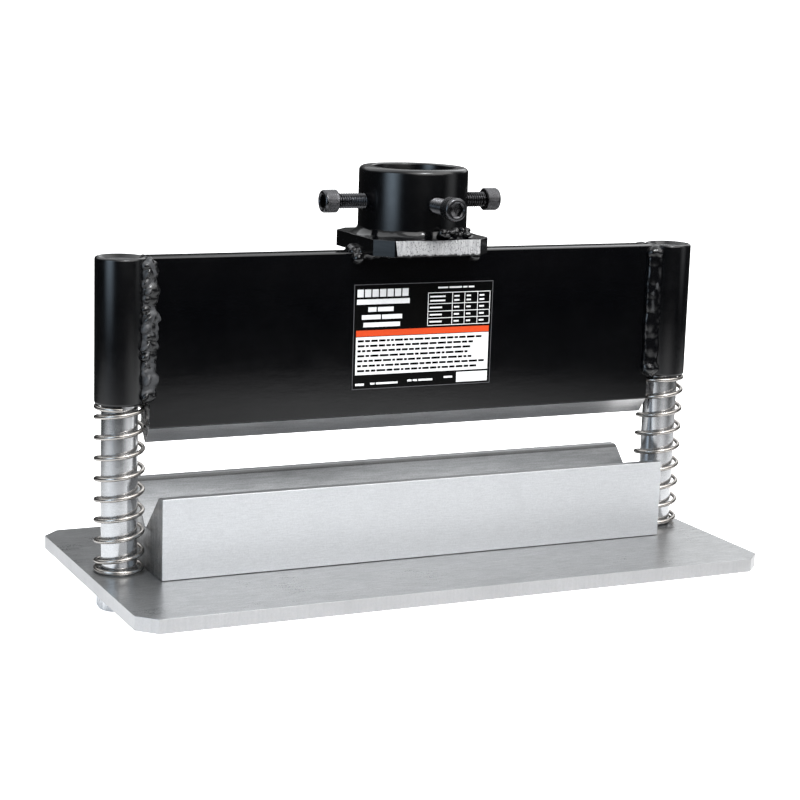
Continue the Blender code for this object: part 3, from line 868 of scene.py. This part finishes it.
def make_collar():
    """Ring that takes the ram, drilled for the clamp screws."""
    low_z, high_z = collar_low.z, collar_high.z
    radius = (collar_high.x - collar_low.x) / 2
    rim = arc((radius - COLLAR_ROUNDING, high_z - COLLAR_ROUNDING), COLLAR_ROUNDING, 0, 90, 8)
    lip = arc((COLLAR_BORE + COLLAR_MOUTH, high_z - COLLAR_MOUTH), COLLAR_MOUTH, 90, 180, 4)
    profile = [(COLLAR_BORE, low_z), (radius, low_z)] + rim + lip
    collar = as_object("collar_painted", turned(profile, 160, True))
    screw_low, screw_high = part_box("clamp_screw_right")
    height = (screw_low.z + screw_high.z) / 2
    bore, mouth = CLAMP_SHANK + GAP, CLAMP_SHANK + 3 * GAP
    sunk = [(bore, COLLAR_BORE - 2 * PAST), (bore, radius - 0.0012)]
    sunk += [(mouth, radius + 0.0002), (mouth, radius + PAST)]
    holes = [shifted(moved(turned(sunk, 40), laid(quarter)), 0, 0, height) for quarter in range(4)]
    cut(collar, as_object("collar_holes", together(holes)))
    as_piece(sharpened(collar, 25), BODY_BEAM, ["ram_collar"], [PAINT_ON_ROUND])


def make_collar_weld():
    """Fillet round the foot of the collar, rippled, with lumps at the front right."""
    hand = random.Random(5)
    low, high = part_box("collar_weld")
    radius = (collar_high.x - collar_low.x) / 2
    reach = COLLAR_FILLET_SPREAD * ((high.x - low.x) / 2 - radius)
    rise = high.z - low.z
    count, across = 240, 10
    rings = []
    for row in range(across + 1):
        share = row / across
        ring = []
        for step in range(count):
            angle = math.tau * step / count
            wobble = noise.noise(Vector((math.cos(angle) * 3.0, math.sin(angle) * 3.0, share)))
            ripple = 0.00004 * math.sin(angle * 30 + 5.0 * wobble)
            out = reach * (1 - share) ** 1.6 * (1 + 0.22 * wobble)
            up = rise * share ** 1.6 * (1 + 0.22 * wobble)
            bulge = ripple * math.sin(math.pi * share)
            distance = radius - 0.0003 + out + bulge
            ring.append(polar(distance, angle, low.z - 0.0004 + up + bulge))
        rings.append(ring)
    rings.append(round_ring(radius - 0.001, low.z + rise * 1.05, count))
    rings.append(round_ring(radius - 0.001, low.z - 0.0004, count))
    fillet = as_object("collar_weld_fillet", ring_stack(rings, True), 50)
    as_piece(fillet, BODY_BEAM, ["collar_weld"], [PAINT])
    drops = []
    for step in range(15):
        angle = math.radians(-86 + 3.6 * step + hand.uniform(-2, 2))
        out = radius + reach * hand.uniform(0.1, 0.8)
        sizes = tuple(hand.uniform(0.0010, 0.0032) for _ in range(3))
        place = polar(out, angle, low.z + hand.uniform(0.0002, 0.0042))
        drops.append((place, sizes, angle, hand.uniform(-0.5, 0.5)))
    fused_drops("collar_weld_lumps", drops, FINE_WELD_VOXEL, [])


def clamp_screw_shape(tip, end, radius):
    """A screw along Z: knurled head with a ringed face and a hexagon socket, and a cut thread."""
    under = end - CLAMP_HEAD_LENGTH
    count = KNURL_RIDGES * 6
    rings = [round_ring(CLAMP_SHANK, under, count), round_ring(radius - 0.0005, under, count)]
    for share in (0.05, 0.10, 0.5, 0.80, 0.84):
        ridge = KNURL_DEPTH if 0.06 < share < 0.82 else 0.0
        ring = []
        for step in range(count):
            wave = 0.5 - 0.5 * math.cos(math.tau * step * KNURL_RIDGES / count)
            reach = radius - 0.00002 - ridge * wave
            ring.append(polar(reach, math.tau * step / count, under + CLAMP_HEAD_LENGTH * share))
        rings.append(ring)
    face = [(radius - 0.0001, 0.0011), (radius - 0.0005, 0.0004), (radius - 0.0011, 0.0001)]
    face += [(radius - 0.0014, 0.0), (CLAMP_SOCKET / 1.62 + 0.0002, 0.0), (CLAMP_SOCKET / 1.62, 0.0002)]
    rings += [round_ring(reach, end - drop, count) for reach, drop in face]
    rings += [hexagon_ring(CLAMP_SOCKET, end - 0.0006, count)]
    rings += [hexagon_ring(CLAMP_SOCKET, end - CLAMP_SOCKET_DEPTH, count)]
    rings += [round_ring(0.0002, end - CLAMP_SOCKET_DEPTH - 0.001, count)]
    shank = threaded(tip, under + 0.0006, CLAMP_SHANK, CLAMP_PITCH)
    return together([ring_stack(rings), ring_stack(shank)])


def make_clamp_screws():
    """Four socket cap screws, each on its own body."""
    for quarter, side in enumerate(("right", "back", "left", "front")):
        low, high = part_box(f"clamp_screw_{side}")
        along = 1 if quarter % 2 else 0
        reach = sorted((abs(low[along]), abs(high[along])))
        shape = clamp_screw_shape(*reach, (high.z - low.z) / 2)
        moved(shape, Matrix.Translation((0.0, 0.0, (low.z + high.z) / 2)) @ laid(quarter))
        screw = as_object(f"clamp_screw_{side}_threaded", shape, 35)
        as_piece(screw, f"clamp_{side}", [f"clamp_screw_{side}"], [BLACK_OXIDE])


# ---------------------------------------------------------------- label

# Panels as (left, bottom, right, top), from the label's lower left corner
LABEL_BAND = (0.0020, 0.0334, 0.0944, 0.0372)
LABEL_PANEL = (0.0020, 0.0092, 0.0944, 0.0330)
LABEL_BOX = (0.0724, 0.0016, 0.0944, 0.0080)
LABEL_STRIPE = (0.0020, 0.0534, 0.0380, 0.0566)
LABEL_TABLE = (0.0509, 0.0387, 0.0944, 0.0593)
TABLE_COLUMNS = (0.39, 0.59, 0.80)
TABLE_ROWS = (0.22, 0.43, 0.66)
MARK_LENGTHS = (0.0085, 0.0036, 0.0030, 0.0034)
# Rows of plain blocks as (left, bottom, height, block widths), in place of any wording
BLOCK_ROWS = (
    (0.0022, 0.0580, 0.0048, (0.0042, 0.0042, 0.0042, 0.0042, 0.0042, 0.0042, 0.0042)),
    (0.0098, 0.0488, 0.0028, (0.0056, 0.0108)),
    (0.0056, 0.0440, 0.0028, (0.0128, 0.0138)),
    (0.0068, 0.0392, 0.0028, (0.0250,)),
    (0.0575, 0.0620, 0.0010, (0.0070, 0.0088, 0.0030, 0.0040)),
    (0.0022, 0.0024, 0.0014, (0.0060,)),
    (0.0125, 0.0028, 0.0012, (0.0030, 0.0150)),
    (0.0380, 0.0036, 0.0012, (0.0030, 0.0030, 0.0098)),
    (0.0636, 0.0046, 0.0012, (0.0060,)),
)
BLOCK_GAP = 0.0009
LABEL_RULE = 0.0004
LABEL_INK = 0.00004
LABEL_LINES = 7
LABEL_RIM = 0.0005
BLACK, WHITE, ORANGE, GREY = range(4)


def table_marks():
    """A short mark or two in each cell of the label's table."""
    left, bottom, right, top = LABEL_TABLE
    columns = (0.0, *TABLE_COLUMNS, 1.0)
    rows = (0.0, *TABLE_ROWS, 1.0)
    marks = []
    for column, start in enumerate(columns[:-1]):
        for row, foot in enumerate(rows[:-1]):
            x = left + (right - left) * start + 0.0013
            z = bottom + (top - bottom) * (foot + rows[row + 1]) / 2
            length = MARK_LENGTHS[column] * (1.25 if row == 3 and column == 0 else 1.0)
            for lift in (0.0011, -0.0015) if row == 3 else (0.0,):
                marks.append((x, z + lift - 0.0005, x + length, z + lift + 0.0005))
    return marks


def label_panels():
    """The label's panels as (rectangle, ink), with no lettering."""
    left, bottom, right, top = LABEL_TABLE
    half = LABEL_RULE / 2
    panels = [(LABEL_BAND, ORANGE), (LABEL_PANEL, WHITE), (LABEL_BOX, WHITE), (LABEL_STRIPE, WHITE)]
    for x, z, height, widths in BLOCK_ROWS:
        for width in widths:
            panels.append(((x, z, x + width, z + height), WHITE))
            x += width + BLOCK_GAP
    panels += [(mark, WHITE) for mark in table_marks()]
    for share in (0.0, *TABLE_COLUMNS, 1.0):
        x = left + (right - left) * share
        panels.append(((x - half, bottom, x + half, top), WHITE))
    for share in (0.0, *TABLE_ROWS, 1.0):
        z = bottom + (top - bottom) * share
        panels.append(((left - half, z - half, right + half, z + half), WHITE))
    return panels


def label_slab(rectangle, front, back):
    """A rectangle of the label as a slab between two values of Y."""
    left, bottom, right, top = rectangle
    corners = ((left, bottom), (right, bottom), (right, top), (left, top))
    points = [(label_low.x + x, back, label_low.z + z) for x, z in corners]
    return extruded(points, (0.0, front - back, 0.0))


def make_label():
    """Thin film with plain printed panels, and broken lines in place of small print."""
    hand = random.Random(3)
    front = label_low.y
    width, height = label_high.x - label_low.x, label_high.z - label_low.z
    film = front + 2 * LABEL_INK
    panels = [((0.0, 0.0, width, height), GREY, film + LABEL_INK / 2)]
    panels.append(((LABEL_RIM, LABEL_RIM, width - LABEL_RIM, height - LABEL_RIM), BLACK, film))
    panels += [(rectangle, ink, front + LABEL_INK) for rectangle, ink in label_panels()]
    left, bottom, right, top = LABEL_PANEL
    for line in range(LABEL_LINES):
        z = top - (line + 0.8) * (top - bottom) / (LABEL_LINES + 0.6)
        x = left + 0.0012
        end = right - hand.uniform(0.002, 0.014)
        while x < end:
            length = min(hand.uniform(0.0018, 0.0062), end - x)
            panels.append(((x, z - 0.0007, x + length, z + 0.0007), BLACK, front))
            x += length + 0.0008
    shapes, inks = [], []
    for rectangle, ink, depth in panels:
        shape = label_slab(rectangle, depth, label_high.y)
        inks += [ink] * len(shape.faces)
        shapes.append(shape)
    label = as_object("label_film", together(shapes))
    films = [FILM_BLACK, FILM_WHITE, FILM_ORANGE, FILM_GREY]
    as_piece(label, BODY_BEAM, ["label_plate"], films)
    for face, ink in zip(label.data.polygons, inks):
        face.material_index = ink


# ---------------------------------------------------------------- camera, floor and light

CAMERA_AZIMUTH = math.radians(25.455)
CAMERA_ELEVATION = math.radians(10.946)
CAMERA_ROLL = math.radians(-1.812)
CAMERA_TARGET = Vector((0.00273, 0.01504, 0.11441))
CAMERA_DISTANCE = 1.3163
CAMERA_LENS = 92.29


def make_camera():
    """Camera in front, to the left and a little above, rolled slightly."""
    data = bpy.data.cameras.new("camera")
    data.lens = CAMERA_LENS
    data.sensor_width = 36.0
    data.clip_start = 0.05
    data.clip_end = 50.0
    a, e = CAMERA_AZIMUTH, CAMERA_ELEVATION
    back = Vector((-math.sin(a) * math.cos(e), -math.cos(a) * math.cos(e), math.sin(e)))
    right = Vector((math.cos(a), -math.sin(a), 0.0))
    up = back.cross(right)
    across = right * math.cos(CAMERA_ROLL) - up * math.sin(CAMERA_ROLL)
    upward = right * math.sin(CAMERA_ROLL) + up * math.cos(CAMERA_ROLL)
    camera = placed("camera", data)
    turn = Matrix((across, upward, back)).transposed().to_4x4()
    camera.matrix_world = Matrix.Translation(CAMERA_TARGET + back * CAMERA_DISTANCE) @ turn
    bpy.context.scene.camera = camera


# What the gloss paint and the bright steel see: painted pools of light on the floor close by, painted
# dark as a studio further out
FLOOR_ALBEDO = 0.82
FLOOR_DARK = 0.02
FLOOR_LIFT = 0.90
FLOOR_BOUNCE = 0.30
# Each painted pool of light is a centre, radii, the shares of the radii where it starts and stops
# fading, and its albedo
FLOOR_LIGHT_POOLS = (
    ((0.0, 0.0), (0.70, 0.34), (0.6, 1.35), 0.82),
    ((0.17, -0.40), (0.25, 0.29), (0.2, 1.6), 0.50),
)
WORLD_LOW = 0.04
WORLD_HIGH = 0.75
WORLD_PANEL = 1.25


def bare_tree(owner):
    """The node tree of a material or a world, emptied."""
    owner.use_nodes = True
    owner.node_tree.nodes.clear()
    return owner.node_tree


def make_floor():
    """Plain pale floor, lit and glowing so that it stays white to the camera. Reflections and bounce
    see painted pools of light near the object, dark far out, and a painted glow of bounce light.
    """
    shape = bmesh.new()
    bmesh.ops.create_grid(shape, x_segments=8, y_segments=8, size=6.0)
    floor = as_object("floor", shifted(shape, 0, 0, -0.0004))
    material = bpy.data.materials.new("floor")
    tree = bare_tree(material)
    seen = node(tree, "ShaderNodeLightPath").outputs["Is Camera Ray"]
    place = node(tree, "ShaderNodeTexCoord").outputs["Object"]
    # The camera sees an even albedo; the pools below paint light only for reflections and bounce.
    albedo = sums(tree, seen, FLOOR_ALBEDO, "MULTIPLY")
    for centre, radii, fade, peak in FLOOR_LIGHT_POOLS:
        scale = (1 / radii[0], 1 / radii[1], 1.0)
        offset = (-centre[0] / radii[0], -centre[1] / radii[1], 0.0)
        sockets = {"Vector": place, "Scale": scale, "Location": offset}
        pool = node(tree, "ShaderNodeMapping", sockets).outputs["Vector"]
        distance = node(tree, "ShaderNodeVectorMath", {0: pool}, operation="LENGTH").outputs["Value"]
        albedo = sums(tree, albedo, spread(tree, distance, *fade, peak, FLOOR_DARK), "MAXIMUM")
    channels = {"Red": albedo, "Green": albedo, "Blue": albedo}
    grey = node(tree, "ShaderNodeCombineColor", channels).outputs[0]
    paper = node(tree, "ShaderNodeBsdfDiffuse", {"Color": grey}).outputs[0]
    # Painted bounce light: the floor glows where its pools are, though it is no lamp.
    bounce = sums(tree, albedo, FLOOR_BOUNCE, "MULTIPLY")
    lift = sums(tree, sums(tree, seen, FLOOR_LIFT, "MULTIPLY"), bounce)
    white = (1.0, 1.0, 1.0, 1.0)
    glow = node(tree, "ShaderNodeEmission", {"Color": white, "Strength": lift}).outputs[0]
    both = node(tree, "ShaderNodeAddShader", {0: paper, 1: glow}).outputs[0]
    node(tree, "ShaderNodeOutputMaterial", {"Surface": both})
    floor.data.materials.append(material)


def make_world():
    """White behind the object. Reflections see a pale ceiling, and a bright wall at the back right."""
    world = bpy.data.worlds.new("studio")
    bpy.context.scene.world = world
    tree = bare_tree(world)
    seen = node(tree, "ShaderNodeLightPath").outputs["Is Camera Ray"]
    way = node(tree, "ShaderNodeTexCoord").outputs["Generated"]
    parts = node(tree, "ShaderNodeSeparateXYZ", {"Vector": way})
    ceiling = spread(tree, parts.outputs["Z"], 0.25, 0.75, WORLD_LOW, WORLD_HIGH)
    wall = spread(tree, parts.outputs["X"], 0.28, 0.56, 0.08, 1.1)
    above = spread(tree, parts.outputs["Z"], 0.12, 0.22, 0.0, WORLD_PANEL)
    behind = spread(tree, parts.outputs["Y"], 0.2, 0.5, 0.0, 1.0)
    panel = sums(tree, sums(tree, wall, above, "MULTIPLY"), behind, "MULTIPLY")
    strength = sums(tree, sums(tree, ceiling, panel, "MAXIMUM"), sums(tree, seen, 4.0, "MULTIPLY"))
    colour = (0.98, 0.99, 1.0, 1.0)
    sky = node(tree, "ShaderNodeBackground", {"Color": colour, "Strength": strength}).outputs[0]
    node(tree, "ShaderNodeOutputWorld", {"Surface": sky})


def facing(place, aim):
    """A turn that points -Z from a place to an aim, with +Y upward."""
    return (Vector(place) - Vector(aim)).to_track_quat("Z", "Y").to_matrix().to_4x4()


def softbox(name, place, aim, width, height, radiance, colour=(0.96, 0.98, 1.0)):
    """Rectangular lamp aimed at a point, and hidden from the camera."""
    data = bpy.data.lights.new(name, "AREA")
    data.shape = "RECTANGLE"
    data.size = width
    data.size_y = height
    data.energy = 4 * radiance * width * height
    data.color = colour
    lamp = placed(name, data)
    lamp.matrix_world = Matrix.Translation(place) @ facing(place, aim)
    lamp.visible_camera = False


def glow_card(name, place, aim, width, height, radiance, colour=(0.96, 0.98, 1.0)):
    """Glowing upright sheet that fades to its sides and its foot, hidden from the camera."""
    shape = bmesh.new()
    bmesh.ops.create_grid(shape, x_segments=1, y_segments=1, size=0.5)
    card = as_object(name, shape)
    size = Matrix.Diagonal((width, height, 1.0, 1.0))
    card.matrix_world = Matrix.Translation(place) @ facing(place, aim) @ size
    material = bpy.data.materials.new(name)
    tree = bare_tree(material)
    place = node(tree, "ShaderNodeTexCoord").outputs["Object"]
    parts = node(tree, "ShaderNodeSeparateXYZ", {"Vector": place})
    sideways = node(tree, "ShaderNodeMath", {0: parts.outputs["X"]}, operation="ABSOLUTE").outputs[0]
    across = spread(tree, sideways, 0.0, 0.5, 1.0, 0.0, interpolation_type="SMOOTHSTEP")
    up = spread(tree, parts.outputs["Y"], -0.5, -0.2, 0.0, 1.0)
    fade = sums(tree, up, 2.0, "POWER")
    strength = sums(tree, sums(tree, across, fade, "MULTIPLY"), radiance, "MULTIPLY")
    glow = node(tree, "ShaderNodeEmission", {"Color": (*colour, 1.0), "Strength": strength}).outputs[0]
    node(tree, "ShaderNodeOutputMaterial", {"Surface": glow})
    card.data.materials.append(material)
    card.visible_camera = False


def make_lights():
    """A large box high in front, a small bright one in it, one overhead, and a card at each side."""
    softbox("key", (0.55, -1.25, 1.5), (0.0, 0.0, 0.08), 3.2, 2.2, 2.08, (1.0, 0.99, 0.98))
    softbox("spark", (0.10, -1.10, 1.5), (0.0, 0.0, 0.15), 0.4, 0.4, 22.0)
    softbox("overhead", (0.0, 0.55, 1.1), (0.0, 0.0, 0.1), 2.4, 1.4, 0.9)
    glow_card("left_card", (-0.82, -0.30, 0.34), (0.0, -0.04, 0.34), 0.75, 0.66, 4.4, (0.68, 0.84, 1.0))
    glow_card("right_card", (0.76, -0.42, 0.34), (0.0, 0.0, 0.34), 0.60, 0.66, 0.9)


make_camera()
make_world()
make_lights()
make_floor()
make_base_plate()
make_die()
make_die_screws()
make_posts()
make_nuts()
make_springs()
make_blade()
make_tubes()
make_tube_welds()
make_flange()
make_flange_welds()
make_collar()
make_collar_weld()
make_clamp_screws()
make_label()
bpy.context.scene.view_settings.view_transform = "Standard"
